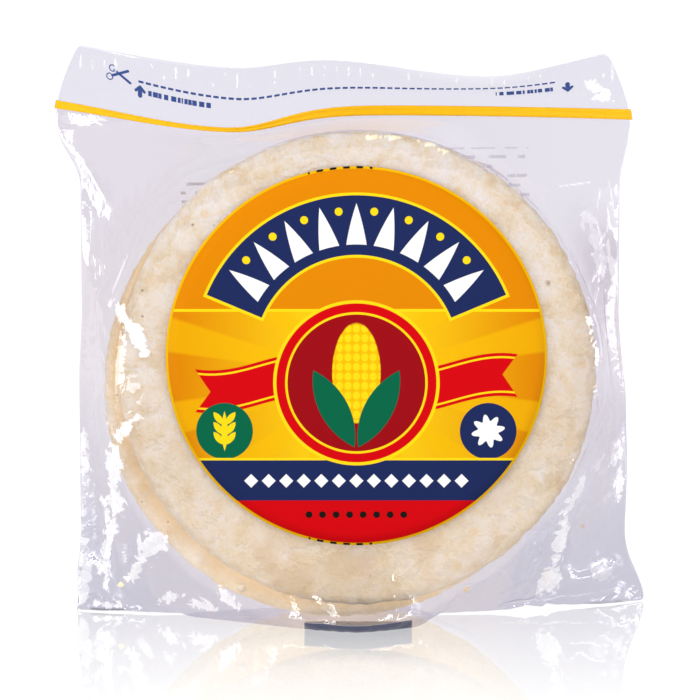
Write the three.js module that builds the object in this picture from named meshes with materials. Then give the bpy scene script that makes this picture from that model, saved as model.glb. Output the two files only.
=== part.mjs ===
// A clear resealable pouch of five round corn cakes, standing on its base, in millimetres.
// +X is the pouch's right, +Y its back and +Z up. The origin is at the middle of its footprint.
// The pouch is one closed solid of the film's outer shape: a taut skin round the stack of cakes,
// flat ears at the corners and a wavy header above the press-to-close strips.
import * as THREE from "three";

// The cakes inside, which give the pouch its form.
const cakeRadius = 60;
const cakeThickness = 7.3;
const cakeCount = 5;
const cakeEdge = 3; // rounding of a cake's rim
const stackDepth = cakeCount * cakeThickness;
const filmClear = 0.55; // from a cake to the outside of the film
const frontCake = { x: 1.9, z: 65.6 }; // the front cake sits a little high
const rearCakes = { x: -1.4, z: 60.8, radius: cakeRadius + 0.8 }; // the other four, as one drum

// The foot that the pouch stands on: slack film folded under the stack, pushed out in front.
const foot = { x: 1.5, left: -44, right: 19.5, front: -28.5, back: 17, height: 2.8, rows: 8 };
const footTaper = { left: 0.62, right: 0.74, round: 4, behind: 0.55 }; // how its front falls back to the sides

// The pouch's outline.
const seamHalf = 0.6; // half of the thickness where two films lie together
const leftEdge = { mid: -69.8, header: -76.2, base: -72.2 };
const rightEdge = { mid: 69.5, header: 72.4, base: 77.6 };
const rightLean = { shift: 1.8, from: 40, over: 40 }; // the right edge leans in over its height
const flareTop = { from: 112, over: 14 }; // heights where the sides run out to the header
const flareBase = { from: 24, curve: 1.5 }; // and to the base corners
// How far back the side seams run, and the heights where that changes.
const seamBack = { mid: 5, leftBase: 4.5, rightBase: 17, baseFrom: 34, topFrom: 95, over: 35 };
const foldLift = { left: 1.6, right: 3 }; // the base fold's arch between the foot and each corner

// The header above the press-to-close strips.
const zipHeight = 128.9; // from the floor to the strips' lower edge
const zipDip = { depth: 4.8, x: -30, leftWidth: 36, rightWidth: 17 };
const zipTilt = { left: 2.6, right: -1.2 };
const headerLength = 17.6;
const wave = { middle: 5, depth: 7, x: 4, halfLength: 68 }; // the header's S in plan
const lean = { back: 14, curve: 1.4, x: 36, leftWidth: 60, rightWidth: 38 }; // how far its top falls back
const curl = { inwards: 0.075, back: 4.5, left: -0.5, right: 1.3, rise: 1.5, run: 6 }; // its two bent top corners

// Press-to-close strips and the round label.
const strip = { gap: 0.3, height: 2.6, thickness: 0.8, rise: 0.35 };
const label = { x: 1.6, z: 69.4, radius: 47.6, gap: 0.6, thickness: 0.5, sides: 96 };

// Soft folds that run out to the corners.
const fold = {
  height: 0.9,
  waves: [{ count: 13, share: 0.6, backShift: 2.1 }, { count: 19, share: 0.4, backShift: 5.04 }],
  start: 3, // out from the cakes' rim
  reach: 12,
  end: 84, // from the front cake's middle
  fade: 8,
  floor: { from: 5, over: 10 },
  strips: { below: 6, over: 12 },
};

const columns = 46;
const skinRows = 44;
const headerRows = 6;
const relaxSteps = 2200;
const easeSteps = 2; // free of the contents, which rounds the rims
const cling = 0.32; // pull on to the stack's faces in each step
const slackStart = { front: -27, back: 22 }; // where the loose film lies before it tightens
const faceY = -stackDepth / 2 - filmClear;

const smooth = (t) => {
  const c = Math.min(1, Math.max(0, t));
  return c * c * (3 - 2 * c);
};
const bell = (t) => Math.exp(-t * t);
const mix = (a, b, t) => a + (b - a) * t;

// Half-way line of the two films along the press-to-close strips, at x.
function zipLine(x) {
  const share = x < 0 ? x / leftEdge.header : x / rightEdge.header;
  const tilt = (x < 0 ? zipTilt.left : zipTilt.right) * share ** 2;
  const width = x < zipDip.x ? zipDip.leftWidth : zipDip.rightWidth;
  const dip = zipDip.depth * bell((x - zipDip.x) / width);
  const y = wave.middle + wave.depth * Math.sin((Math.PI * (x - wave.x)) / wave.halfLength);
  return new THREE.Vector3(x, y, zipHeight - dip + tilt);
}

// The header's middle surface: u runs from -1 to 1 across it, s from the strips to the top edge.
function headerPoint(u, s) {
  const x = mix(leftEdge.header, rightEdge.header, (u + 1) / 2);
  const base = zipLine(x);
  const width = x < lean.x ? lean.leftWidth : lean.rightWidth;
  const back = lean.back * bell((x - lean.x) / width) * s ** lean.curve;
  const rise = Math.sqrt((headerLength * s) ** 2 - back ** 2);
  const bend = s ** curl.rise * Math.abs(u) ** curl.run;
  return new THREE.Vector3(
    x * (1 - curl.inwards * bend),
    base.y + back + curl.back * bend,
    base.z + rise + (u < 0 ? curl.left : curl.right) * bend,
  );
}

// The side seam at height share t, from the floor to the strips, on side -1 or 1.
function seamPoint(side, t) {
  const edge = side < 0 ? leftEdge : rightEdge;
  const top = headerPoint(side, 0);
  const z = mix(0, top.z, t);
  const towardsHeader = smooth((z - flareTop.from) / flareTop.over);
  const towardsBase = smooth((flareBase.from - z) / flareBase.from) ** flareBase.curve;
  const leaning = rightLean.shift * (1 - 2 * smooth((z - rightLean.from) / rightLean.over));
  const straight = edge.mid + (side < 0 ? 0 : leaning);
  const x = mix(mix(straight, edge.header, towardsHeader), edge.base, towardsBase);
  const baseBack = side < 0 ? seamBack.leftBase : seamBack.rightBase;
  const upper = mix(seamBack.mid, top.y, smooth((z - seamBack.topFrom) / seamBack.over));
  const y = mix(upper, baseBack, smooth((seamBack.baseFrom - z) / seamBack.baseFrom));
  return new THREE.Vector3(x, y, z);
}

// The fold along the pouch's base, from corner to corner.
function foldPoint(u) {
  const left = seamPoint(-1, 0);
  const right = seamPoint(1, 0);
  const x = mix(left.x, right.x, (u + 1) / 2);
  const [corner, end, lift] =
    x < foot.x ? [left, foot.left, foldLift.left] : [right, foot.right, foldLift.right];
  const reach = Math.max(0, (x - end) / (corner.x - end));
  return new THREE.Vector3(x, corner.y * reach ** 2, lift * Math.sin(Math.PI * reach) ** 2);
}

// Moves p out of an upright round drum along Y with a rounded rim.
function leaveDrum(p, drum) {
  const middle = (drum.front + drum.back) / 2;
  const dx = p.x - drum.x;
  const dz = p.z - drum.z;
  const dy = p.y - middle;
  const rho = Math.hypot(dx, dz) || 1e-6;
  const edge = cakeEdge + filmClear;
  const out = rho - (drum.radius + filmClear - edge);
  const along = Math.abs(dy) - ((drum.back - drum.front) / 2 + filmClear - edge);
  const far = Math.hypot(Math.max(out, 0), Math.max(along, 0));
  const depth = far + Math.min(Math.max(out, along), 0) - edge;
  if (depth >= 0) return;
  let pushOut = 0;
  let pushAlong = 0;
  if (out > 0 && along > 0) {
    pushOut = out / far;
    pushAlong = along / far;
  } else if (out > along) pushOut = 1;
  else pushAlong = 1;
  p.x -= (depth * pushOut * dx) / rho;
  p.z -= (depth * pushOut * dz) / rho;
  p.y -= depth * pushAlong * Math.sign(dy);
}

// The foot's own surface at x, in row j: along the floor, then up its front or back edge.
function footPoint(x, j, side) {
  const taper = x < foot.x ? footTaper.left : footTaper.right;
  const fallBack = Math.hypot(taper * (x - foot.x), footTaper.round) - footTaper.round;
  const reach = side < 0 ? foot.front + fallBack : foot.back - footTaper.behind * fallBack;
  return new THREE.Vector3(x, mix(side * seamHalf, reach, j / foot.rows), j < foot.rows ? 0 : foot.height);
}

const drums = [
  { ...frontCake, radius: cakeRadius, front: -stackDepth / 2, back: 0 },
  { ...rearCakes, front: -stackDepth / 2 + cakeThickness, back: stackDepth / 2 },
];

function leaveContents(p) {
  for (const drum of drums) leaveDrum(p, drum);
  p.z = Math.max(0, p.z);
}

// Folds in the slack film, strongest half-way between the stack's rim and the corners.
function foldRelief(p, side) {
  const dx = p.x - frontCake.x;
  const dz = p.z - frontCake.z;
  const rho = Math.hypot(dx, dz);
  const angle = Math.atan2(dz, dx);
  const reach = smooth((rho - cakeRadius - fold.start) / fold.reach);
  const inside = smooth((fold.end - rho) / fold.fade);
  const offFloor = smooth((p.z - fold.floor.from) / fold.floor.over);
  const offStrips = smooth((zipHeight - fold.strips.below - p.z) / fold.strips.over);
  let ripple = 0;
  for (const { count, share, backShift } of fold.waves) {
    ripple += share * Math.sin(count * angle + (side < 0 ? 0 : backShift));
  }
  return fold.height * reach * inside * offFloor * offStrips * ripple;
}

// One film as rows of points, from the base fold up to the strips. side is -1 for the front.
function makeSkin(side) {
  const start = side < 0 ? slackStart.front : slackStart.back;
  const rows = [];
  const held = (i, j) => j <= foot.rows && rows[0][i].x > foot.left && rows[0][i].x < foot.right;
  for (let j = 0; j <= skinRows; j++) {
    const t = j / skinRows;
    const left = seamPoint(-1, t);
    const right = seamPoint(1, t);
    const row = [];
    for (let i = 0; i <= columns; i++) {
      const u = (2 * i) / columns - 1;
      const p = left.clone().lerp(right, i / columns);
      if (j === 0) p.copy(foldPoint(u));
      else if (j === skinRows) p.copy(headerPoint(u, 0));
      else if (i > 0 && i < columns && held(i, j)) p.copy(footPoint(rows[0][i].x, j, side));
      else if (i > 0 && i < columns) p.y = start;
      row.push(p);
    }
    rows.push(row);
  }
  const last = relaxSteps + easeSteps;
  for (let step = 0; step < last; step++) {
    for (let j = 1; j < skinRows; j++) {
      for (let i = 1; i < columns; i++) {
        if (held(i, j)) continue;
        const p = rows[j][i];
        p.copy(rows[j][i - 1]).add(rows[j][i + 1]).add(rows[j - 1][i]).add(rows[j + 1][i]);
        p.divideScalar(4);
        if (step >= relaxSteps) continue;
        if (Math.hypot(p.x - frontCake.x, p.z - frontCake.z) < cakeRadius) p.y -= side * cling;
        leaveContents(p);
      }
    }
  }
  return rows;
}

// The whole film on one side: the skin with its folds, then the header.
function makeFilm(side) {
  const rows = makeSkin(side);
  rows.forEach((row, j) =>
    row.forEach((p, i) => {
      const seam = i === 0 || i === columns || j === 0 || j === skinRows;
      p.y += seam ? side * seamHalf : foldRelief(p, side);
    }),
  );
  for (let j = 1; j <= headerRows; j++) {
    const row = [];
    for (let i = 0; i <= columns; i++) {
      const p = headerPoint((2 * i) / columns - 1, j / headerRows);
      p.y += side * seamHalf;
      row.push(p);
    }
    rows.push(row);
  }
  return rows;
}

// A closed mesh from a list of points and a list of corner triples.
function solid(points, corners) {
  const geometry = new THREE.BufferGeometry();
  const flat = points.flatMap((p) => [p.x, p.y, p.z]);
  geometry.setAttribute("position", new THREE.Float32BufferAttribute(flat, 3));
  geometry.setIndex(corners);
  geometry.computeVertexNormals();
  return geometry;
}

function pouchGeometry() {
  const front = makeFilm(-1);
  const back = makeFilm(1);
  const last = front.length - 1;
  const across = columns + 1;
  const points = [...front.flat(), ...back.flat()];
  const behind = front.length * across;
  const at = (j, i) => j * across + i;
  const corners = [];
  const quad = (a, b, c, d) => corners.push(a, b, c, a, c, d);
  for (let j = 0; j < last; j++) {
    for (let i = 0; i < columns; i++) {
      quad(at(j, i), at(j, i + 1), at(j + 1, i + 1), at(j + 1, i));
      quad(behind + at(j, i), behind + at(j + 1, i), behind + at(j + 1, i + 1), behind + at(j, i + 1));
    }
    quad(at(j, 0), at(j + 1, 0), behind + at(j + 1, 0), behind + at(j, 0));
    quad(at(j, columns), behind + at(j, columns), behind + at(j + 1, columns), at(j + 1, columns));
  }
  for (let i = 0; i < columns; i++) {
    quad(at(last, i), at(last, i + 1), behind + at(last, i + 1), behind + at(last, i));
    quad(at(0, i), behind + at(0, i), behind + at(0, i + 1), at(0, i + 1));
  }
  return solid(points, corners);
}

// A press-to-close strip along the header's front (-1) or back (1).
function stripGeometry(side) {
  const inner = side * (seamHalf + strip.gap);
  const outer = side * (seamHalf + strip.gap + strip.thickness);
  const low = strip.rise / headerLength;
  const high = (strip.rise + strip.height) / headerLength;
  const points = [];
  for (let i = 0; i <= columns; i++) {
    const u = (2 * i) / columns - 1;
    for (const [s, y] of [[low, inner], [low, outer], [high, outer], [high, inner]]) {
      const p = headerPoint(u, s);
      p.y += y;
      points.push(p);
    }
  }
  const corners = [];
  const quad = (a, b, c, d) => (side < 0 ? corners.push(a, b, c, a, c, d) : corners.push(a, c, b, a, d, c));
  for (let i = 0; i < columns; i++) {
    for (let k = 0; k < 4; k++) {
      const next = (k + 1) % 4;
      quad(4 * i + k, 4 * i + 4 + k, 4 * i + 4 + next, 4 * i + next);
    }
  }
  const end = 4 * columns;
  quad(0, 1, 2, 3);
  quad(end, end + 3, end + 2, end + 1);
  return solid(points, corners);
}

function named(name, geometry, color, roughness, opacity = 1) {
  const material = new THREE.MeshStandardMaterial({ color, roughness, metalness: 0 });
  material.transparent = opacity < 1;
  material.opacity = opacity;
  const mesh = new THREE.Mesh(geometry, material);
  mesh.name = name;
  return mesh;
}

const group = new THREE.Group();
group.add(named("pouch", pouchGeometry(), "#e4dfe9", 0.12, 0.5));
group.add(named("zip_front", stripGeometry(-1), "#fccf10", 0.3));
group.add(named("zip_back", stripGeometry(1), "#fccf10", 0.3));

const disc = new THREE.CylinderGeometry(label.radius, label.radius, label.thickness, label.sides);
const printed = named("label", disc, "#f0a20a", 0.35);
printed.position.set(label.x, faceY - label.gap - label.thickness / 2, label.z);
group.add(printed);

// The middle of the footprint's box goes to the origin.
const box = new THREE.Box3().setFromObject(group);
const middle = box.getCenter(new THREE.Vector3());
group.position.set(-middle.x, -middle.y, 0);

export default group;
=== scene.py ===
# A clear zip pouch of five white corn cakes, standing on its folded base.
# Everything is in metres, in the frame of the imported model. Blender 4.5.
import math
import random
import bpy
from mathutils import Matrix, Vector, noise
from mathutils.bvhtree import BVHTree


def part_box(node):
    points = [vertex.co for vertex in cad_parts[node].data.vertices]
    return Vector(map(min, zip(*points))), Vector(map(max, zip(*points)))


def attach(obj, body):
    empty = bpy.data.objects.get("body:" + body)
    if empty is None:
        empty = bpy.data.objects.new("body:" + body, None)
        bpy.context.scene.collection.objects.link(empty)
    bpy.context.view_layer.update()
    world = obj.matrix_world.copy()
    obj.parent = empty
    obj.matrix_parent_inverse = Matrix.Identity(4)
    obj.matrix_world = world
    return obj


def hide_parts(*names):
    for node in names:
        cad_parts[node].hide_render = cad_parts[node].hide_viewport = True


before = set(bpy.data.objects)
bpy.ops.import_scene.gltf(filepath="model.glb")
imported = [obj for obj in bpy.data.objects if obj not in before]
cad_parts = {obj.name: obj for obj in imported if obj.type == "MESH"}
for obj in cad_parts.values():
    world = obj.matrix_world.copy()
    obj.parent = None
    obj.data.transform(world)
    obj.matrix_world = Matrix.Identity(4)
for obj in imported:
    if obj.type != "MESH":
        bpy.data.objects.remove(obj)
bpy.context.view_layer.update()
mm = 0.001

# The stack of cakes is centred on the label, just behind it.
labelLow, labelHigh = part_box("label")
labelAt = {"x": 1.6, "behind": 19.9, "z": 69.4}  # the label's middle seen from the stack's, in mm
stack = {
    "x": (labelLow.x + labelHigh.x) / 2 - labelAt["x"] * mm,
    "y": labelLow.y + labelAt["behind"] * mm,
}


def at(x, y, z):
    # a place in millimetres from the middle of the stack, at floor height
    return Vector((stack["x"] + x * mm, stack["y"] + y * mm, z * mm))


def smooth(t):
    t = min(1.0, max(0.0, t))
    return t * t * (3 - 2 * t)


# Small modelling helpers

def activate(obj):
    if bpy.context.object and bpy.context.object.mode != "OBJECT":
        bpy.ops.object.mode_set(mode="OBJECT")
    bpy.ops.object.select_all(action="DESELECT")
    obj.select_set(True)
    bpy.context.view_layer.objects.active = obj
    return obj


def editAll(obj):
    activate(obj)
    bpy.ops.object.mode_set(mode="EDIT")
    bpy.ops.mesh.select_all(action="SELECT")


def objectMode():
    bpy.ops.object.mode_set(mode="OBJECT")


def newest(name):
    obj = bpy.context.object
    obj.name = name
    obj.data.name = name
    return obj


def applyModifier(obj, kind, **settings):
    activate(obj)
    modifier = obj.modifiers.new(kind, kind)
    for key, value in settings.items():
        setattr(modifier, key, value)
    bpy.ops.object.modifier_apply(modifier=modifier.name)


def settle(obj):
    # its place goes into its mesh
    activate(obj)
    bpy.ops.object.transform_apply(location=True, rotation=True, scale=True)


def dress(obj, look):
    obj.data.materials.clear()
    obj.data.materials.append(look.material)
    activate(obj)
    bpy.ops.object.shade_smooth()
    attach(obj, "root")


# Shader maths

class Wire:
    # an output socket; sums written on it become Math nodes
    def __init__(self, look, socket):
        self.look = look
        self.socket = socket

    def math(self, operation, *others):
        return self.look.math(operation, self, *others)

    def __add__(self, other):
        return self.math("ADD", other)

    def __radd__(self, other):
        return self.math("ADD", other)

    def __sub__(self, other):
        return self.math("SUBTRACT", other)

    def __rsub__(self, other):
        return self.look.math("SUBTRACT", other, self)

    def __mul__(self, other):
        return self.math("MULTIPLY", other)

    def __rmul__(self, other):
        return self.math("MULTIPLY", other)

    def __truediv__(self, other):
        return self.math("DIVIDE", other)

    def __pow__(self, other):
        return self.math("POWER", other)

    def __abs__(self):
        return self.math("ABSOLUTE")

    def below(self, edge, soft=0.12):
        # 1 where the value is under the edge, 0 over it, with a soft step between
        return self.look.clamp((edge - self) / soft + 0.5)

    def over(self, edge, soft=0.12):
        return self.look.clamp((self - edge) / soft + 0.5)

    def between(self, low, high, soft=0.12):
        return self.over(low, soft) * self.below(high, soft)


class Look:
    # a material and short ways to add its nodes
    def __init__(self, name):
        self.material = bpy.data.materials.new(name)
        self.material.use_nodes = True
        self.tree = self.material.node_tree
        self.tree.nodes.clear()

    def node(self, kind, settings=None, inputs=None, output=0):
        made = self.tree.nodes.new("ShaderNode" + kind)
        for key, value in (settings or {}).items():
            if key == "stops":
                self.setStops(made.color_ramp, value)
            else:
                setattr(made, key, value)
        for key, value in (inputs or {}).items():
            if isinstance(value, Wire):
                self.tree.links.new(value.socket, made.inputs[key])
            else:
                made.inputs[key].default_value = value
        return Wire(self, made.outputs[output]) if made.outputs else None

    def setStops(self, ramp, stops):
        while len(ramp.elements) < len(stops):
            ramp.elements.new(0.5)
        for element, (place, colour) in zip(ramp.elements, stops):
            element.position = place
            element.color = colour

    def math(self, operation, *values):
        inputs = dict(enumerate(values))
        return self.node("Math", {"operation": operation}, inputs)

    def clamp(self, value):
        return self.node("Math", {"operation": "MULTIPLY", "use_clamp": True}, {0: value, 1: 1.0})

    def larger(self, a, b):
        return self.math("MAXIMUM", a, b)

    def length(self, a, b):
        return (a * a + b * b) ** 0.5

    def mix(self, share, low, high):
        settings = {"data_type": "RGBA", "clamp_factor": True}
        return self.node("Mix", settings, {0: share, 6: low, 7: high}, output=2)

    def paint(self, under, *coats):
        # lays (mask, colour) coats over a colour, one after another
        for mask, colour in coats:
            under = self.mix(mask, under, colour)
        return under

    def place(self):
        # x, y and z from the middle of the stack, in millimetres
        coords = self.node("TexCoord", output="Object")
        shift = {"Location": tuple(-1000 * v for v in at(0, 0, 0)), "Scale": (1000, 1000, 1000)}
        return self.node("Mapping", {"vector_type": "POINT"}, {"Vector": coords, **shift})

    def parts(self, vector):
        split = self.tree.nodes.new("ShaderNodeSeparateXYZ")
        self.tree.links.new(vector.socket, split.inputs[0])
        return [Wire(self, split.outputs[k]) for k in range(3)]

    def grain(self, vector, scale, detail=2.0, rough=0.5, distortion=0.0):
        inputs = {"Vector": vector, "Scale": scale, "Detail": detail,
                  "Roughness": rough, "Distortion": distortion}
        return self.node("TexNoise", {}, inputs)

    def cells(self, vector, scale, feature="F1", output="Distance"):
        return self.node("TexVoronoi", {"feature": feature}, {"Vector": vector, "Scale": scale}, output)

    def finish(self, shader):
        self.node("OutputMaterial", {}, {"Surface": shader})
        return self


def colour(red, green, blue):
    # screen colour, 0 to 255, as a linear one
    linear = []
    for c in (red, green, blue):
        linear.append(((c / 255 + 0.055) / 1.055) ** 2.4 if c > 10 else c / 255 / 12.92)
    return (*linear, 1.0)


# The corn cakes

cake = {
    "radius": 60 * mm, "thickness": 7.3 * mm, "rim": 2.8 * mm,
    # x, y and z of the middle, size of a facet and random seed, front cake first
    "stack": [
        (1.9, -14.6, 65.6, 0.8, 3),
        (-2.7, -7.3, 60.9, 0.9, 11),
        (-2.0, 0.0, 60.6, 1.3, 23),
        (-0.4, 7.3, 61.0, 1.3, 31),
        (-1.6, 14.6, 60.7, 1.1, 47),
    ],
    "wobble": 0.4 * mm, "lump": 0.45 * mm, "crumb": 0.22 * mm, "crack": 0.35 * mm,
    # colours of the dough from its dark clumps to its pale ones, each with its place on the ramp
    "dough": [
        (0.34, (236, 211, 161)),
        (0.46, (244, 229, 193)),
        (0.55, (248, 239, 217)),
        (0.66, (252, 248, 238)),
    ],
    # painted light and shade among these: deeper golds towards the bottom and where the cakes meet, and a
    # warm glow for the lower dough
    "low": (243, 220, 168), "wetAndShade": (228, 196, 140), "jointShade": (242, 206, 136), "paste": (254, 249, 234),
    "gold": (240, 204, 120), "specks": (128, 96, 56), "blots": (140, 104, 52), "floorBounceGlow": (255, 236, 200),
    "glow": 0.34,
}


def doughLook():
    look = Look("cornDough")
    p = look.place()
    x, y, z = look.parts(p)
    broad = look.grain(p, 0.05, 3, 0.55)
    clump = look.grain(p, 0.16, 5, 0.68, 0.4)
    fine = look.grain(p, 1.1, 3, 0.7)
    frontX, _, frontZ, _, _ = cake["stack"][0]
    # painted shade: a deeper gold ring on the cakes behind, just round the front cake's rim, where they
    # meet
    jointShade = look.length(x - frontX, z - frontZ).between(59.0, 63.0, 2.5) * y.over(-11.0, 0.6)
    shade = 0.5 + (clump - 0.5) * 0.75 + (broad - 0.5) * 0.3 + (fine - 0.5) * 0.4
    stops = [(where, colour(*tone)) for where, tone in cake["dough"]]
    base = look.node("ValToRGB", {"stops": stops}, {"Fac": shade})
    # moist patches of deeper gold, real in part, made stronger towards the bottom as painted shade
    wetAndShade = look.grain(p, 0.09, 4, 0.62).over(0.56, 0.14) * (0.4 + (40 - z) / 160)
    gold = look.cells(p, 0.17).below(0.2, 0.14) * look.grain(p, 0.05, 2).over(0.54, 0.1)
    paste = look.cells(p, 0.11).below(0.3, 0.2) * look.grain(p, 0.04, 2).over(0.5, 0.1)
    specks = look.cells(p, 0.2).below(0.075, 0.03) * look.grain(p, 0.033, 1).over(0.6, 0.03)
    blots = look.cells(p, 0.06).below(0.05, 0.03) * fine.over(0.42, 0.12)
    base = look.paint(
        base,
        # painted shade: the dough is coloured a deeper gold towards the bottom
        (look.clamp((86 - z) / 90) * 0.48, colour(*cake["low"])),
        (look.clamp(wetAndShade), colour(*cake["wetAndShade"])),
        (jointShade * 0.6, colour(*cake["jointShade"])),
        (paste * 0.45, colour(*cake["paste"])),
        (gold * 0.45, colour(*cake["gold"])),
        (specks * 0.7, colour(*cake["specks"])),
        (blots * 0.7, colour(*cake["blots"])),
    )
    # painted light: a warm glow in the lower dough, most in the cakes behind, stands in for light off the
    # white floor soaking through
    floorBounceGlow = look.clamp((40 - z) / 80) + look.clamp((84 - z) / 115) * y.over(-11.0, 0.6)
    bump = look.node("Bump", {}, {
        "Height": look.grain(p, 0.8, 3, 0.7), "Strength": 0.7, "Distance": 0.0008,
    })
    shader = look.node("BsdfPrincipled", {}, {
        "Base Color": base, "Roughness": 0.62 - look.clamp(wetAndShade) * 0.3, "Normal": bump,
        "Subsurface Weight": 0.12, "Subsurface Scale": 0.004,
        "Subsurface Radius": (1.0, 0.7, 0.4), "Specular IOR Level": 0.3,
        "Emission Color": look.mix(floorBounceGlow, (0.0, 0.0, 0.0, 1.0), colour(*cake["floorBounceGlow"])),
        "Emission Strength": cake["glow"],
    })
    return look.finish(shader)


def makeCake(index, look):
    x, y, z, facet, seed = cake["stack"][index]
    centre = at(x, y, z)
    bpy.ops.mesh.primitive_cylinder_add(
        vertices=128, radius=cake["radius"], depth=cake["thickness"],
        location=centre, rotation=(math.pi / 2, 0, 0))
    obj = newest(f"cake{index + 1}")
    settle(obj)
    applyModifier(obj, "BEVEL", width=cake["rim"], segments=4, limit_method="ANGLE")
    applyModifier(obj, "REMESH", mode="VOXEL", voxel_size=facet * mm)
    offset = Vector((seed * 1.7, seed * 0.9, seed * 2.3))
    half = cake["thickness"] / 2
    moves = []
    for v in obj.data.vertices:
        d = v.co - centre
        rho = math.hypot(d.x, d.z)
        angle = math.atan2(d.z, d.x)
        rim = smooth((rho - cake["radius"] + 5 * mm) / (4 * mm))
        turn = Vector((math.cos(angle) * 2.2, math.sin(angle) * 2.2, 0)) + offset
        low = noise.noise(v.co / (9 * mm) + offset)
        crumb = noise.turbulence(v.co / (2.4 * mm) + offset, 3, False)
        split = noise.noise(Vector((angle * 9, d.y / half * 0.8, 0)) + offset)
        crack = max(0.0, 1 - abs(split) * 5) * rim
        inward = cake["lump"] * (0.5 + 0.5 * low) * (1 - 0.5 * rim) + cake["crumb"] * crumb
        inward += cake["crack"] * crack + 0.5 * cake["crumb"] * rim * crumb
        outward = cake["wobble"] * noise.noise(turn) * rim
        radial = Vector((d.x, 0, d.z)) / max(rho, 1e-6)
        moves.append(radial * outward - v.normal * inward)
    for v, move in zip(obj.data.vertices, moves):
        v.co += move
    dress(obj, look)
    return obj


dough = doughLook()
cakes = [makeCake(k, dough) for k in range(len(cake["stack"]))]

loose = {
    # x, y, z and size of each crumb, all in mm
    "crumbs": [
        (-27.5, -15.6, 10.2, 1.2), (-59.5, -1.5, 8.0, 0.7), (-33.0, -4.0, 8.6, 0.9),
        (30.0, -6.0, 7.6, 0.8), (-62.0, 0.5, 31.0, 0.5), (61.0, 6.0, 22.0, 0.5),
    ],
    "rough": 0.5,
}


def makeCrumbs(look):
    parts = []
    for index, (x, y, z, size) in enumerate(loose["crumbs"]):
        bpy.ops.mesh.primitive_ico_sphere_add(subdivisions=3, radius=size * mm, location=at(x, y, z))
        part = newest(f"crumb{index}")
        settle(part)
        for v in part.data.vertices:
            lump = noise.noise(v.co / (0.9 * size * mm) + Vector((index, 0, 0)))
            v.co += v.normal * size * mm * loose["rough"] * lump
        parts.append(part)
    activate(parts[0])
    for part in parts[1:]:
        part.select_set(True)
    bpy.ops.object.join()
    obj = newest("looseCrumbs")
    dress(obj, look)
    return obj


makeCrumbs(dough)
print("cakes", [len(c.data.polygons) for c in cakes])

# The press-to-close strips

zipper = {
    "ridges": (0.2, 0.8), "ridgeHeight": 0.16 * mm, "thickness": 0.35 * mm, "towardsFilm": 0.45 * mm,
    # where the header dips it turns edge on, and less of the strip's height shows
    "turned": {"x": -33, "left": 42, "right": 17, "less": 0.56, "lower": 0.45},
    "colours": ((238, 176, 0), (244, 186, 0)),
}


def stripEdges(node):
    # the strip's lower and upper edge as points along it, from its solid
    points = sorted((v.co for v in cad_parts[node].data.vertices), key=lambda p: p.x)
    groups = [[points[0]]]
    for p in points[1:]:
        if p.x - groups[-1][-1].x > 0.8 * mm:
            groups.append([])
        groups[-1].append(p)
    lower, upper = [], []
    for group in groups:
        group.sort(key=lambda p: p.z)
        half = len(group) // 2
        lower.append(sum(group[:half], Vector()) / half)
        upper.append(sum(group[half:], Vector()) / (len(group) - half))
    return lower, upper


def along(points, x):
    # the point of a line of points at this x
    for a, b in zip(points, points[1:]):
        if x <= b.x:
            return a.lerp(b, max(0.0, (x - a.x) / (b.x - a.x)))
    return points[-1].copy()


def zipLook():
    look = Look("yellowStrip")
    p = look.place()
    tone = look.grain(p, 0.3, 2)
    base = look.mix(tone, *(colour(*c) for c in zipper["colours"]))
    shader = look.node("BsdfPrincipled", {}, {
        "Base Color": base, "Roughness": 0.4 + tone * 0.1, "Specular IOR Level": 0.25,
    })
    return look.finish(shader)


def makeStrip(name, node, side, look):
    lower, upper = stripEdges(node)
    bpy.ops.mesh.primitive_grid_add(x_subdivisions=180, y_subdivisions=16, size=1)
    obj = newest(name)
    turned = zipper["turned"]
    for v in obj.data.vertices:
        share = v.co.y + 0.5
        x = lower[0].x + (v.co.x + 0.5) * (lower[-1].x - lower[0].x)
        away = (x - stack["x"]) / mm - turned["x"]
        dip = math.exp(-(away / (turned["left"] if away < 0 else turned["right"])) ** 2)
        height = 0.5 + (share - 0.5) * (1 - turned["less"] * dip) - 0.5 * turned["lower"] * dip
        p = along(lower, x).lerp(along(upper, x), height)
        ridge = max(math.exp(-((share - r) / 0.12) ** 2) for r in zipper["ridges"])
        p.y += side * (zipper["ridgeHeight"] * ridge - zipper["towardsFilm"])
        v.co = p
    if side > 0:
        editAll(obj)
        bpy.ops.mesh.flip_normals()
        objectMode()
    applyModifier(obj, "SOLIDIFY", thickness=zipper["thickness"], offset=-1)
    dress(obj, look)
    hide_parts(node)
    return obj


yellow = zipLook()
zipFront = makeStrip("zipFront", "zip_front", -1, yellow)
zipBack = makeStrip("zipBack", "zip_back", 1, yellow)
print("strips", len(zipFront.data.polygons), len(zipBack.data.polygons))

# The film

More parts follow.
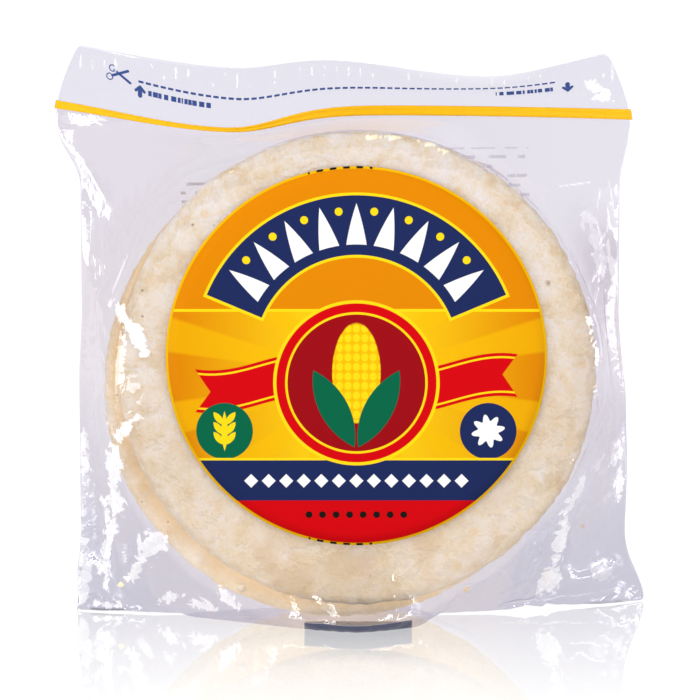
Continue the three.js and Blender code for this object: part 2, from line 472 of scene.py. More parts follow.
film = {
    "thin": 0.2 * mm,  # each flat side moves in by this, as real film is thinner than the solid
    "clear": 0.22 * mm,  # gap left between the film and the cakes
    # Cloth works at this scale; no point moves further than the reach, and none near the strips
    "scale": 10.0, "reach": 3.6 * mm, "calm": 58 * mm,
    "cloth": {
        "mass": 0.15, "tension_stiffness": 30, "compression_stiffness": 30, "shear_stiffness": 12,
        "air_damping": 4,
    },
    "rounds": [  # slack across and upwards, steps and bending of each round of creasing
        {"slack": (0.035, 0.007), "steps": 22, "bending": 0.6, "quality": 6},
        {"slack": (0.01, 0.003), "steps": 8, "bending": 0.15, "quality": 5},
    ],
    # x, z at both ends, height and half width of each ridge, on the front
    "folds": [
        (-70.5, 121, -60, 104, 1.2, 4), (-58, 102, -58, 88, 0.9, 3.5), (-61, 84, -54, 78, 1.6, 4),
        (-63.5, 70, -64, 34, 0.9, 3), (-62, 44, -61.5, 12, 1.6, 4.5), (-46, 29, -58, 10, 1.8, 5),
        (-68, 12, -50, 16, 1.0, 4), (-52, 6, -34, 13, 1.3, 4.5), (-36, 9, -24, 10, 1.0, 3.5),
        (62, 121, 66, 103, 1.2, 4), (62, 98, 60, 84, 0.9, 3.5), (66, 76, 68, 34, 0.9, 3.5),
        (58, 46, 52, 14, 1.8, 5), (51, 40, 58, 50, 1.0, 2.5), (47, 34, 56, 42, 1.0, 2.5),
        (74, 10, 54, 9, 1.3, 4.5), (50, 8, 22, 5, 1.2, 4), (68, 30, 76, 8, 1.2, 4),
    ],
    # rings of points round the stack for the flat facets, from the floor up to where they fade out
    "facets": {
        "seed": 5, "rings": 9, "spokes": 44, "inner": 54, "gap": 8.5, "height": 1.5, "middle": 66,
        "top": 46, "fade": 34,
    },
    # how far up the base fold is drawn down to the floor, and what is left under it
    "drawn": 22 * mm, "rest": 0.2 * mm,
    # extra width of the margins, in mm
    "bow": {"right": 1.2, "rightHigh": 0.9, "rightLow": 0.4, "left": 0.9},
    # painted highlights on creases of the front: x, z at both ends, half width and strength
    "glints": [
        (-59.8, 46.3, -60.5, 34.2, 1.5, 1.0), (-60.6, 32.5, -60.8, 27.5, 2.5, 1.0),
        (-61.1, 27.5, -63.2, 16.3, 0.9, 1.0), (-63.5, 15.3, -63.8, 6.8, 1.5, 1.0),
        (-48.4, 23.2, -52.5, 17.0, 3.0, 0.95), (-52.5, 17.0, -57.5, 9.3, 1.8, 1.0),
        (-49.4, 3.8, -43.7, 6.6, 1.5, 1.0), (-43.7, 6.0, -34.2, 3.6, 1.0, 1.0),
        (-32.4, 9.5, -29.5, 5.0, 1.6, 0.9), (-66.0, 2.0, -58.9, 1.4, 0.9, 1.0),
        (-60.1, 82.5, -54.1, 77.2, 1.6, 1.0), (-53.9, 76.7, -51.4, 70.2, 1.2, 1.0),
        (-54.2, 63.2, -53.3, 58.1, 1.4, 0.5), (-58.0, 48.5, -53.8, 54.6, 1.1, 0.9),
        (-68.9, 47.7, -69.8, 26.5, 0.9, 0.5), (-69.2, 22.0, -70.4, 3.0, 1.1, 0.6),
        (59.0, 37.6, 54.8, 29.3, 1.4, 0.6), (54.3, 28.6, 53.5, 14.9, 1.4, 1.0),
        (52.9, 11.8, 49.8, 5.2, 2.5, 1.0), (63.7, 11.1, 69.3, 8.3, 2.3, 0.35),
        (69.4, 44.4, 70.0, 29.2, 0.7, 0.9), (61.5, 136.9, 67.1, 134.4, 1.6, 1.0),
        (60.5, 104.0, 65.5, 88.0, 1.5, 0.35),
    ],
    # and fine painted highlight lines, drawn this wide
    "hairs": [
        (-56.1, 94.4, -60.5, 84.1), (-73.0, 122.3, -67.9, 115.2), (-67.9, 115.2, -60.5, 105.0),
        (64.5, 111.6, 63.5, 105.3), (66.6, 112.4, 68.0, 104.1), (62.9, 103.5, 65.1, 94.5),
        (52.6, 111.1, 62.9, 112.2), (39.1, 2.4, 74.1, 4.4), (67.9, 142.3, 67.7, 137.2),
    ],
    "hairWidth": 0.22, "glintFrom": 50, "farOff": -9.0,
    # what each crossing lets through: mostly, high on the right, in the header, at the right edge and low
    "tint": (0.889, 0.864, 0.908, 1.0), "rightTint": (0.932, 0.916, 0.96, 1.0),
    "headTint": (0.935, 0.926, 0.972, 1.0), "edgeTint": (0.81, 0.775, 0.825, 1.0),
    "baseTint": (0.785, 0.773, 0.838, 1.0), "gloss": 0.085, "slant": 0.35,
    "haze": 0.03, "hazeColour": (226, 222, 240), "glintColour": (252, 250, 255), "glintGlow": 0.16,
    "blue": (22, 58, 128), "navy": (26, 36, 84), "grey": (140, 138, 150), "seamShade": (120, 118, 128),
    # height of the tear line over the strip, its dashes' pitch, and the pitch of the small print's rows
    "tearLine": 8.4, "dash": 1.93, "row": 2.4,
}


def filmSheet(obj):
    # UV map in decimetres: across the pouch, and up from the strip's lower edge; the back is 4 further
    lower, _ = stripEdges("zip_front")
    sheet = obj.data.uv_layers.new(name="sheet")
    for face in obj.data.polygons:
        behind = 4.0 if face.normal.y > 0 else 0.0
        for index in face.loop_indices:
            p = obj.data.vertices[obj.data.loops[index].vertex_index].co
            foot = along(lower, p.x)
            rise = p.z - foot.z
            if rise > 0:
                rise = math.hypot(rise, p.y - foot.y)
            sheet.data[index].uv = ((p.x - stack["x"]) * 10 + behind, rise * 10)


def pressFolds(obj):
    # ridges where the film is drawn from the seams and corners to the stack
    for x1, z1, x2, z2, height, width in film["folds"]:
        a, b = at(x1, 0, z1), at(x2, 0, z2)
        run = Vector((b.x - a.x, 0, b.z - a.z))
        for v in obj.data.vertices:
            if v.normal.y > 0:
                continue
            d = Vector((v.co.x - a.x, 0, v.co.z - a.z))
            t = min(1.0, max(0.0, d.dot(run) / run.length_squared))
            off = (d - run * t).length / (width * mm)
            if off < 1:
                v.co.y -= height * mm * (1 - off) ** 1.4 * math.sin(math.pi * (0.15 + 0.7 * t))


def pinWeights(obj):
    lower, _ = stripEdges("zip_front")
    group = obj.vertex_groups.new(name="pinned")
    coords = [v.co.copy() for v in obj.data.vertices]
    rows = {}
    for p in coords:
        key = round(p.z / (4 * mm))
        low, high = rows.get(key, (1.0, -1.0))
        rows[key] = (min(low, p.x), max(high, p.x))
    ends = [at(x, y, z) for x, y, z, _, _ in (cake["stack"][0], cake["stack"][-1])]
    for v, p in zip(obj.data.vertices, coords):
        low, high = rows[round(p.z / (4 * mm))]
        seam = 1 - smooth((min(p.x - low, high - p.x) - 1.0 * mm) / (5 * mm))
        header = smooth((p.z - along(lower, p.x).z + film["calm"]) / (0.8 * film["calm"]))
        base = 1 - smooth((p.z - 0.3 * mm) / (3 * mm))
        end = ends[0] if p.y < stack["y"] else ends[1]
        far = math.hypot(p.x - end.x, p.z - end.z)
        face = (1 - smooth((far - 54 * mm) / (4 * mm))) * (abs(p.y - end.y) < 5 * mm)
        group.add([v.index], max(seam, header, base, face), "REPLACE")


def keepOff(obj, gap):
    # moves every point of the film out of the cakes' rounded drums
    half, rim = cake["thickness"] / 2, cake["rim"]
    drums = [at(x, y, z) for x, y, z, _, _ in cake["stack"]]
    front, back = drums[0].y - half, drums[-1].y + half
    for v in obj.data.vertices:
        for centre in drums:
            dx, dz = v.co.x - centre.x, v.co.z - centre.z
            rho = max(math.hypot(dx, dz), 1e-6)
            out = rho - cake["radius"] + rim
            if out < -4 * mm:
                continue
            deep = abs(v.co.y - centre.y) - half + rim
            if out > rim + gap or deep > rim + gap:
                continue
            if deep > out:
                continue
            far = math.hypot(max(out, 0.0), max(deep, 0.0))
            if far < rim + gap:
                push = rim + gap - far
                nx = max(out, 0.0) / max(far, 1e-6)
                v.co.x += dx / rho * nx * push
                v.co.z += dz / rho * nx * push
        # the flat faces of the stack
        for centre, face, sign in ((drums[0], front, -1), (drums[-1], back, 1)):
            rho = math.hypot(v.co.x - centre.x, v.co.z - centre.z)
            over = rho - cake["radius"] + rim
            if over > rim + gap:
                continue
            drop = rim - math.sqrt(max(0.0, rim * rim - max(0.0, min(over, rim)) ** 2))
            limit = face + sign * (gap - drop)
            if sign * (v.co.y - centre.y) > 0 and sign * (v.co.y - limit) < 0:
                v.co.y = limit


def standIns():
    # plain drums that the film can't pass while it creases
    made = []
    for index, (x, y, z, _, _) in enumerate(cake["stack"]):
        bpy.ops.mesh.primitive_cylinder_add(
            vertices=128, radius=cake["radius"], depth=cake["thickness"],
            location=at(x, y, z), rotation=(math.pi / 2, 0, 0))
        obj = newest(f"drum{index}")
        settle(obj)
        applyModifier(obj, "BEVEL", width=cake["rim"], segments=3, limit_method="ANGLE")
        obj.data.transform(Matrix.Scale(film["scale"], 4))
        obj.modifiers.new("Collision", "COLLISION")
        obj.collision.thickness_outer = 0.02 * film["scale"] * 0.01
        made.append(obj)
    return made


def crease(obj, slack, steps, bending, quality):
    # slack film creases between its seams and the stack: Cloth on a copy ten times as large
    before = [v.co.copy() for v in obj.data.vertices]
    obj.data.transform(Matrix.Scale(film["scale"], 4))
    obj.shape_key_add(name="asItHangs")
    flat = obj.shape_key_add(name="unfolded")
    for point, v in zip(flat.data, obj.data.vertices):
        point.co = Vector((v.co.x * (1 + slack[0]), v.co.y * (1 + slack[0]), v.co.z * (1 + slack[1])))
    for step, value in ((1, 1.0), (round(0.6 * steps), 0.0)):
        flat.value = value
        flat.keyframe_insert("value", frame=step)
    bpy.context.scene.frame_set(1)
    cloth = obj.modifiers.new("Cloth", "CLOTH")
    settings = cloth.settings
    for key, value in film["cloth"].items():
        setattr(settings, key, value)
    settings.quality = quality
    settings.bending_stiffness = bending
    settings.effector_weights.gravity = 0
    settings.vertex_group_mass = "pinned"
    cloth.collision_settings.distance_min = 0.003
    cloth.point_cache.frame_end = steps
    scene = bpy.context.scene
    for step in range(1, steps + 1):
        scene.frame_set(step)
    shown = obj.evaluated_get(bpy.context.evaluated_depsgraph_get())
    creased = [v.co.copy() for v in shown.data.vertices]
    obj.modifiers.remove(cloth)
    obj.shape_key_clear()
    scene.frame_set(1)
    for v, place in zip(obj.data.vertices, creased):
        v.co = place / film["scale"]
    for v, start in zip(obj.data.vertices, before):
        move = v.co - start
        if move.length > film["reach"]:
            v.co = start + move.normalized() * film["reach"]
        v.co.z = max(v.co.z, 0.0)


def crumple(obj):
    # flat facets in the webs: heights from a coarse sheet of random rings round the stack
    facets = film["facets"]
    random.seed(facets["seed"])
    points, faces = [], []
    for ring in range(facets["rings"]):
        for k in range(facets["spokes"]):
            angle = math.tau * (k + 0.5 * (ring % 2) + random.uniform(-0.3, 0.3)) / facets["spokes"]
            rho = facets["inner"] + facets["gap"] * (ring + random.uniform(-0.35, 0.35))
            height = random.uniform(-1, 1) * facets["height"] * mm
            up = facets["middle"] + rho * math.sin(angle)
            points.append(at(rho * math.cos(angle), height / mm, up))
            if ring:
                outer, inner = ring * facets["spokes"], (ring - 1) * facets["spokes"]
                right = (k + 1) % facets["spokes"]
                faces.append((outer + k, inner + k, inner + right, outer + right))
    sheet = BVHTree.FromPolygons(points, faces)
    for v in obj.data.vertices:
        free = 1 - sum(g.weight for g in v.groups)
        low = 1 - smooth((v.co.z / mm - facets["top"]) / facets["fade"])
        hit = sheet.ray_cast(Vector((v.co.x, -1, v.co.z)), Vector((0, 1, 0)))[0]
        if hit and free * low > 0:
            v.co.y += (hit.y - stack["y"]) * free * low


def drawDown(obj):
    # the base fold rests on the floor along its whole length
    reach = film["drawn"]
    bins = {}
    for v in obj.data.vertices:
        key = round(v.co.x / (2 * mm))
        bins[key] = min(bins.get(key, 1.0), v.co.z)
    for v in obj.data.vertices:
        if v.co.z < reach:
            place = v.co.x / (2 * mm)
            key = math.floor(place)
            near, far = bins.get(key, 0.0), bins.get(key + 1, 0.0)
            lift = near + (far - near) * (place - key)
            v.co.z -= (lift - film["rest"]) * (1 - smooth(v.co.z / reach))


def widen(obj):
    # the empty margins bow out a little more than the solid's
    bow = film["bow"]
    for v in obj.data.vertices:
        x, z = (v.co.x - stack["x"]) / mm, v.co.z / mm
        right = bow["right"] + bow["rightHigh"] * smooth((z - 45) / 15)
        right += bow["rightLow"] * (1 - smooth(z / 15))
        right *= 1 - smooth((z - 112) / 14)
        left = bow["left"] * smooth((z - 4) / 8) * (1 - smooth((z - 60) / 20))
        v.co.x += (right * smooth((x - 54) / 14) - left * smooth((-54 - x) / 14)) * mm


def insideStroke(x, z, x1, z1, x2, z2, half):
    # a spindle, thinner at both ends
    dx, dz = x2 - x1, z2 - z1
    t = min(1.0, max(0.0, ((x - x1) * dx + (z - z1) * dz) / (dx * dx + dz * dz)))
    return half * (1.1 - 0.6 * (2 * t - 1) ** 2) - math.hypot(x - x1 - t * dx, z - z1 - t * dz)


def markGlints(obj):
    # how deep each point lies inside a painted crease highlight, in millimetres, and the highlight's
    # strength
    for name in ("glint", "glintShare", "hair"):
        obj.data.attributes.new(name, "FLOAT", "POINT")
    depths, shares, hairs = (obj.data.attributes[name].data for name in ("glint", "glintShare", "hair"))
    for v in obj.data.vertices:
        depth, share, hair = film["farOff"], 0.0, film["farOff"]
        x, z = (v.co.x - stack["x"]) / mm, v.co.z / mm
        if v.normal.y < 0 and math.hypot(x, z - 62) > film["glintFrom"]:
            for stroke in film["glints"]:
                inside = insideStroke(x, z, *stroke[:5])
                if inside > depth:
                    depth, share = inside, stroke[5]
            hair = max(insideStroke(x, z, *stroke, film["hairWidth"]) for stroke in film["hairs"])
        depths[v.index].value = depth
        shares[v.index].value = share
        hairs[v.index].value = hair


def filmLook():
    look = Look("clearFilm")
    p = look.place()
    x, y, z = look.parts(p)
    sheet = look.node("UVMap", {"uv_map": "sheet"})
    u, v, _ = look.parts(sheet)
    u, v = u * 100, v * 100
    behind = u.over(200, 1.0)
    u = u - behind * 400
    front = 1 - behind

    # tear line: dashes, scissors at its left end and two small arrows
    rise = v - film["tearLine"] - (u + 5) * (u + 5) * 0.0009
    step = look.math("FRACT", u / film["dash"] + 100)
    dashes = abs(rise).below(0.32) * step.below(0.72, 0.08) * u.between(-54.5, 54)

    def stroke(ax, ay, bx, by, wide, across=u):
        dx, dy = bx - ax, by - ay
        t = look.clamp(((across - ax) * dx + (rise - ay) * dy) / (dx * dx + dy * dy))
        return look.length(across - ax - t * dx, rise - ay - t * dy).below(wide)

    def arrow(middle, foot, tip, side):
        # a shaft and a mirrored pair of barbs
        away = abs(u - middle)
        barb = tip - side * 1.1
        return look.larger(stroke(0, foot, 0, barb, 0.6, away), stroke(0, tip, 1.1, barb, 0.4, away))

    def ring(cx, cy, radius):
        return abs(look.length(u - cx, rise - cy) - radius).below(0.16)

    letters = look.grain(look.node("CombineXYZ", {}, {"X": u * 1.1, "Y": 3.0}), 1.0, 1).below(0.56, 0.06)
    words = letters * look.larger(u.between(-51.5, -35), u.between(38, 53))
    words = words * (rise + 2.4).between(-0.7, 0.7)
    marks = [dashes, words, ring(-60.9, 1.7, 0.8), ring(-61.6, -0.6, 0.8),
             stroke(-60.3, 1.3, -56.2, -1.0, 0.36), stroke(-60.9, -0.2, -56.8, 1.9, 0.36),
             arrow(-53.6, -3.5, -1.3, 1), arrow(56.6, -1.2, -3.4, -1)]
    tear = marks[0]
    for mark in marks[1:]:
        tear = look.larger(tear, mark)
    tear = tear * front

    # printed band on the base fold
    band = x.between(-11.5, 15.7, 0.3) * z.below(2.9, 0.3) * y.below(-10.0, 0.5)

    # rows of small print on the back, as plain bars
    row = look.math("FRACT", z / film["row"] + 10)
    ticks = {"X": x * 0.35, "Y": look.math("FLOOR", z / film["row"]) * 7.3}
    word = look.grain(look.node("CombineXYZ", {}, ticks), 1.0, 1).over(0.47, 0.05)
    block = look.larger(x.between(8, 46, 0.3) * z.between(84, 121, 0.3),
                        x.between(-44, -4, 0.3) * z.between(60, 112, 0.3))
    small = row.between(0.25, 0.6, 0.1) * word * block * (1 - front) * 0.55

    # gloss from both faces of the film, stronger at a slant
    facing = look.node("LayerWeight", {}, {"Blend": 0.5}, output="Facing")
    mirror = film["gloss"] + film["slant"] * facing ** 5
    wrinkle = look.grain(p, 0.16, 3, 0.6, 0.4)
    lively = look.clamp((84 - z) / 40) * 0.78 + 0.22
    bump = look.node("Bump", {}, {
        "Height": wrinkle * lively, "Strength": 0.6, "Distance": 0.0011,
    })
    # more layers of film lie behind one another towards the base
    beside = 1.0
    for index in (0, 1):
        cakeX, _, cakeZ, _, _ = cake["stack"][index]
        beside = look.length(x - cakeX, z - cakeZ).over(61.0, 2.0) * beside
    upRight = look.clamp((x + 60) / 120) * look.clamp((z - 72) / 36)
    tint = look.mix(upRight * beside, film["tint"], film["rightTint"])
    tint = look.mix(v.over(1.0, 3.0), tint, film["headTint"])
    rightEdge = look.clamp((x - 54) / 8) * z.between(38, 102, 16)
    tint = look.mix(rightEdge * 0.8, tint, film["edgeTint"])
    tint = look.mix(look.clamp((66 - z) / 46) * beside, tint, film["baseTint"])
    clear = look.node("BsdfTransparent", {}, {"Color": tint})

    # painted highlights: bright creases, ragged at their edges, and short upright wrinkles along the
    # header's top, in a near-white that glows a little
    depth = look.node("Attribute", {"attribute_name": "glint"}, output=2)
    share = look.node("Attribute", {"attribute_name": "glintShare"}, output=2)
    facet, tone, _ = look.parts(look.cells(p, 0.45, output="Color"))
    ragged = (wrinkle - 0.5) * 4 + (facet - 0.5) * 2.2 + (look.grain(p, 0.6, 3, 0.6) - 0.5) * 2.4
    glint = (depth + ragged).over(0.0, 0.5) * share * (0.66 + 0.34 * tone)
    hair = look.node("Attribute", {"attribute_name": "hair"}, output=2)
    glint = look.larger(glint, hair.over(0.0, 0.3) * 0.6)
    # painted highlights on short upright wrinkles along the header's top
    sealHighlights = look.math("SINE", u * 2.0 + 4 * wrinkle).over(0.9, 0.12) * wrinkle.over(0.52, 0.06)
    sealHighlights = sealHighlights * v.between(12.0, 15.5, 0.8) * front
    glint = look.larger(glint, sealHighlights * 0.5)
    # painted contact shadow: the ends of the base fold are darkened where they touch the floor
    edge = z.below(0.9, 0.5) * look.larger(x.between(-68, -58.5, 1.5), x.between(62, 73, 3) * 0.5) * 0.8
    paint = look.paint(
        colour(*film["hazeColour"]),
        (edge, colour(*film["seamShade"])),
        (tear, colour(*film["blue"])),
        (band, colour(*film["navy"])),
        (small, colour(*film["grey"])),
    )
    haze = look.node("BsdfPrincipled", {}, {"Base Color": paint, "Roughness": 0.35, "Normal": bump})
    gloss = look.node("BsdfPrincipled", {}, {
        "Base Color": (1.0, 1.0, 1.0, 1.0), "Metallic": 1.0, "Roughness": 0.07, "Normal": bump,
    })
    # painted highlight: near-white and glowing a little
    highlightPaint = look.node("BsdfPrincipled", {}, {
        "Base Color": colour(*film["glintColour"]), "Roughness": 0.3, "Normal": bump,
        "Emission Color": (0.95, 0.93, 1.0, 1.0), "Emission Strength": film["glintGlow"],
    })
    solid = look.larger(look.larger(tear, band), look.larger(small, film["haze"]))
    solid = look.larger(solid, edge)
    sheetShader = look.node("MixShader", {}, {0: solid, 1: clear, 2: haze})
    sheetShader = look.node("MixShader", {}, {0: glint, 1: sheetShader, 2: highlightPaint})
    return look.finish(look.node("MixShader", {}, {0: mirror, 1: sheetShader, 2: gloss}))


def makeFilm():
    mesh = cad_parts["pouch"].data.copy()
    obj = bpy.data.objects.new("film", mesh)
    bpy.context.scene.collection.objects.link(obj)
    editAll(obj)
    bpy.ops.mesh.remove_doubles(threshold=0.002 * mm)
    bpy.ops.mesh.tris_convert_to_quads(face_threshold=math.pi, shape_threshold=math.pi)
    bpy.ops.mesh.select_all(action="SELECT")
    bpy.ops.transform.shrink_fatten(value=-film["thin"])
    objectMode()
    applyModifier(obj, "SUBSURF", levels=1, render_levels=1)
    filmSheet(obj)
    pressFolds(obj)
    keepOff(obj, film["clear"])
    drums = standIns()
    pinWeights(obj)
    crease(obj, **film["rounds"][0])
    keepOff(obj, film["clear"])
    applyModifier(obj, "SUBSURF", levels=1, render_levels=1)
    keepOff(obj, film["clear"])
    crease(obj, **film["rounds"][1])
    crumple(obj)
    obj.vertex_groups.clear()
    for drum in drums:
        bpy.data.objects.remove(drum)
    drawDown(obj)
    widen(obj)
    keepOff(obj, film["clear"])
    for v in obj.data.vertices:
        v.co.z = max(v.co.z, 0.0)
    markGlints(obj)
    dress(obj, filmLook())
    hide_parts("pouch")
    return obj


pouchFilm = makeFilm()
print("film", len(pouchFilm.data.polygons))

# The round label

label = {
    "radius": 47.6, "thickness": 0.25 * mm, "rings": 14, "swell": 0.12 * mm, "lift": 0.6 * mm,
    "inks": {
        "orange": (216, 129, 0), "amber": (212, 128, 0), "gold": (234, 180, 2), "yellow": (244, 208, 20),
        "red": (202, 2, 12), "deepRed": (148, 8, 18), "navy": (28, 40, 86), "white": (242, 241, 238),
        "green": (4, 96, 66), "black": (24, 20, 18),
    },
}


def labelLook():
    look = Look("labelPrint")
    p = look.place()
    x, _, z = look.parts(p)
    x = x - labelAt["x"]
    z = z - labelAt["z"]
    inks = [colour(*rgb) for rgb in label["inks"].values()]
    orange, amber, gold, yellow, red, deepRed, navy, white, green, black = inks
    r = look.length(x, z)
    turn = look.math("ARCTAN2", z, x) / math.tau
    wide = abs(x)

    def disc(cx, cz, radius):
        return look.length(x - cx, z - cz).below(radius)

    def leaf(cx, cz, degrees, long, thin):
        # two circles' overlap, turned
        c, s = math.cos(math.radians(degrees)), math.sin(math.radians(degrees))
        lx = (x - cx) * c + (z - cz) * s
        lz = (z - cz) * c - (x - cx) * s
        bow = (long * long + thin * thin) / (2 * thin)
        return look.length(lx, abs(lz) + (bow - thin)).below(bow)

    # gold field with rays below an orange cap
    rays = look.math("FRACT", look.math("ARCTAN2", z + 5, x) * (14 / math.tau) + 20)
    field = look.mix(wide / 44, yellow, amber)
    field = look.mix(rays.between(0.3, 0.7, 0.04) * 0.55, field, gold)
    field = look.paint(
        field,
        (z.over(12.0), orange),
        (z.between(11.4, 12.1), yellow),
    )

    # navy arch with white points and gold dots
    arch = r.between(25.6, 40.4) * (z - wide * 0.42).over(0)
    archLine = r.between(24.9, 41.1) * (z - wide * 0.42).over(-0.8)
    step = (look.math("FRACT", turn * 26 + 20) - 0.5) * (33 * math.tau / 26)
    points = (abs(step) + (r - 38.4) * 0.29).below(0) * r.over(28.2)
    halfStep = (look.math("FRACT", turn * 26 + 20.5) - 0.5) * (37.6 * math.tau / 26)
    dots = look.length(halfStep, r - 36.6).below(1.0)
    inArch = abs(turn - 0.25).below(4.5 / 26, 0.002)
    inDots = abs(turn - 0.25).below(4.2 / 26, 0.002)

    # ribbon with forked ends, behind the roundel
    drop = z + 6.5 + look.math("SINE", x * 0.13) * 2.2
    ribbon = abs(drop).below(5.4) * (wide + abs(drop) * -0.7).below(36.5)
    ribbonEdge = abs(drop).between(4.1, 4.6) * (wide + abs(drop) * -0.7).below(36.5)

    # roundel with a cob and its husk
    m = look.length(x, z + 6.5)
    cobWide = look.length(x / 6.0, (z + 4.0) / 12.5)
    seeds = look.length(look.math("FRACT", x / 2.1 + 20.5) - 0.5,
                        look.math("FRACT", z / 2.4 + 20.5) - 0.5).below(0.43, 0.12)
    husk = look.larger(leaf(-5.6, -13.0, 118, 11.0, 3.6), leaf(5.6, -13.0, 62, 11.0, 3.6))

    # a green and a navy badge above the lower bands
    sprig = leaf(-33.0, -18.6, 90, 5.0, 0.8)
    for side in (-1, 1):
        for k in range(3):
            leaflet = leaf(-33.0 + side * 1.5, -20.4 + 2.5 * k, 90 - side * 38, 2.0, 0.8)
            sprig = look.larger(sprig, leaflet)
    spokes = look.math("SINE", look.math("ARCTAN2", z + 18.6, x - 33.0) * 8)
    sun = (look.length(x - 33.0, z + 18.6) - spokes * 0.8).below(3.4)

    # lower bands
    sideways = abs(look.math("FRACT", x / 4.4 + 20.5) - 0.5) * 4.4
    diamonds = (sideways + abs(z + 31.2)).below(1.75) * wide.below(28.6)
    sideways = (look.math("FRACT", x / 3.4 + 20) - 0.5) * 3.4
    beads = look.length(sideways, z + 39.8).below(0.85) * wide.below(14)
    tick = look.math("FRACT", x / 3.3 + 20).below(0.5, 0.05)
    tick = tick * r.over(47.05, 0.1) * (x + 4).between(-8, 8, 0.1)

    face = look.paint(
        field,
        (archLine, yellow), (arch, navy), (points * inArch, white), (dots * inDots, yellow),
        (ribbon, red), (ribbonEdge, yellow),
        (disc(-33.0, -18.6, 7.1), green), (sprig, yellow),
        (disc(33.0, -18.6, 7.1), navy), (sun, white),
        (z.below(-25.4), yellow), (z.below(-26.0), navy), (diamonds, white),
        (z.below(-36.2), red), (beads, black),
        (m.below(20.8), yellow), (m.below(20.0), red), (m.between(17.2, 17.8), yellow),
        (m.below(17.2), deepRed),
        (cobWide.below(1.0, 0.04), gold), (cobWide.below(1.0, 0.04) * seeds, yellow), (husk, green),
        (r.over(47.0, 0.2), gold), (tick, black),
    )
    fade = look.grain(p, 0.5, 2)
    bump = look.node("Bump", {}, {"Height": look.grain(p, 0.06, 2), "Strength": 0.25, "Distance": 0.001})
    out = look.node("BsdfPrincipled", {}, {
        "Base Color": face, "Roughness": 0.48 + fade * 0.08, "Normal": bump,
        "Specular IOR Level": 0.05,
    })
    return look.finish(out)


def makeLabel():
    centre = (labelLow + labelHigh) / 2
    centre.y = labelHigh.y + label["lift"]
    bpy.ops.mesh.primitive_circle_add(
        vertices=192, radius=label["radius"] * mm, fill_type="NGON",
        location=centre, rotation=(math.pi / 2, 0, 0))
    obj = newest("labelDisc")
    settle(obj)
    editAll(obj)
    for ring in range(label["rings"]):
        bpy.ops.mesh.inset(thickness=label["radius"] * mm / (label["rings"] + 1))
    bpy.ops.mesh.poke()
    objectMode()
    for v in obj.data.vertices:
        d = v.co - centre
        rho = math.hypot(d.x, d.z) / (label["radius"] * mm)
        swell = noise.noise(v.co / (26 * mm)) * label["swell"]
        v.co.y += swell - 0.1 * mm * smooth(rho)
    applyModifier(obj, "SOLIDIFY", thickness=label["thickness"], offset=1)
    dress(obj, labelLook())
    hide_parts("label")
    return obj


labelDisc = makeLabel()
print("label", len(labelDisc.data.polygons))

# Floor, light and camera

studio = {
    "floorGlow": 1.17, "mirror": (0.04, 0.56),  # the floor's least gloss, and how much more in front
    # name, place, width, height and brightness of each lamp, and whether the film mirrors it
    "lamps": [
        ("wallLeft", (-0.93, -0.16, 0.09), 0.5, 0.2, 4.4, True),
        ("lowLeft", (-0.75, -0.5, 0.055), 0.4, 0.1, 9.0, True),
        ("lowRight", (0.75, -0.45, 0.055), 0.4, 0.1, 9.0, True),
        ("wallRight", (0.95, 0.1, 0.11), 0.3, 0.26, 2.0, True),
        ("fillTop", (-0.1, -0.55, 0.95), 1.0, 0.8, 3.35, False),
        ("fillFront", (0.1, -1.2, 0.12), 0.9, 0.4, 1.5, False),
    ],
    # surroundings: dim behind the camera, white behind the pouch and where the camera looks past it
    "dim": 0.3, "white": 1.02, "seen": 1.03, "fade": (0.45, 0.98),
    "camera": (0, -619.4, 137.5), "tilt": 6.3, "lens": 124.5,
}

bpy.ops.mesh.primitive_plane_add(size=60, location=(0, 0, -0.1 * mm))
floor = newest("floor")
ground = Look("whiteAcrylic")
_, ahead, _ = ground.parts(ground.place())
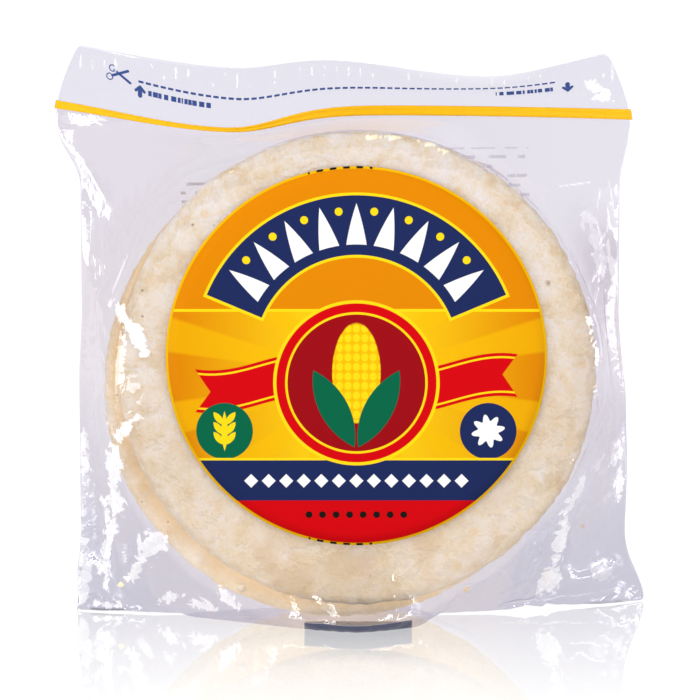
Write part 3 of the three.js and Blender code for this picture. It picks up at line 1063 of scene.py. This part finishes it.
# the mirror image is strongest under the pouch and fades towards the front and far behind
fades = ground.clamp((ahead + 120) / 110) * ground.clamp((500 - ahead) / 350)
glow = ground.node("Emission", {}, {"Color": (1.0, 1.0, 1.0, 1.0), "Strength": studio["floorGlow"]})
plain = ground.node("BsdfDiffuse", {}, {"Color": (0.8, 0.8, 0.8, 1.0)})
sheen = ground.node("BsdfGlossy", {}, {"Color": (1.0, 1.0, 1.0, 1.0), "Roughness": 0.03})
surface = ground.node("MixShader", {}, {0: 0.15, 1: glow, 2: plain})
least, more = studio["mirror"]
ground.finish(ground.node("MixShader", {}, {0: least + fades * more, 1: surface, 2: sheen}))
floor.data.materials.append(ground.material)


def softbox(name, place, wide, high, brightness, mirrored):
    # brightness is what its face shows; the power follows from its size
    bpy.ops.object.light_add(type="AREA", location=place)
    lamp = bpy.context.object
    lamp.name = name
    lamp.data.shape = "RECTANGLE"
    lamp.data.size = wide
    lamp.data.size_y = high
    lamp.data.energy = brightness * math.pi * wide * high
    lamp.rotation_euler = (at(0, 0, 70) - Vector(place)).to_track_quat("-Z", "Y").to_euler()
    lamp.visible_glossy = mirrored


for lampSettings in studio["lamps"]:
    softbox(*lampSettings)

world = bpy.data.worlds.new("studio")
bpy.context.scene.world = world
world.use_nodes = True
nodes, links = world.node_tree.nodes, world.node_tree.links
direction = nodes.new("ShaderNodeTexCoord")
split = nodes.new("ShaderNodeSeparateXYZ")
fade = nodes.new("ShaderNodeMapRange")
fade.inputs["From Min"].default_value, fade.inputs["From Max"].default_value = studio["fade"]
fade.inputs["To Min"].default_value = studio["dim"]
fade.inputs["To Max"].default_value = studio["white"]
seen = nodes.new("ShaderNodeLightPath")
brightness = nodes.new("ShaderNodeMix")
brightness.inputs["B"].default_value = studio["seen"]
links.new(direction.outputs["Generated"], split.inputs[0])
links.new(split.outputs["Y"], fade.inputs["Value"])
links.new(seen.outputs["Is Camera Ray"], brightness.inputs["Factor"])
links.new(fade.outputs[0], brightness.inputs["A"])
links.new(brightness.outputs[0], nodes["Background"].inputs["Strength"])
nodes["Background"].inputs["Color"].default_value = (1.0, 1.0, 1.0, 1.0)

tilt = math.radians(90 - studio["tilt"])
bpy.ops.object.camera_add(location=at(*studio["camera"]), rotation=(tilt, 0, 0))
camera = bpy.context.object
camera.data.lens = studio["lens"]
camera.data.clip_start = 0.01
bpy.context.scene.camera = camera
bpy.context.scene.view_settings.view_transform = "Standard"
print("stage ready")
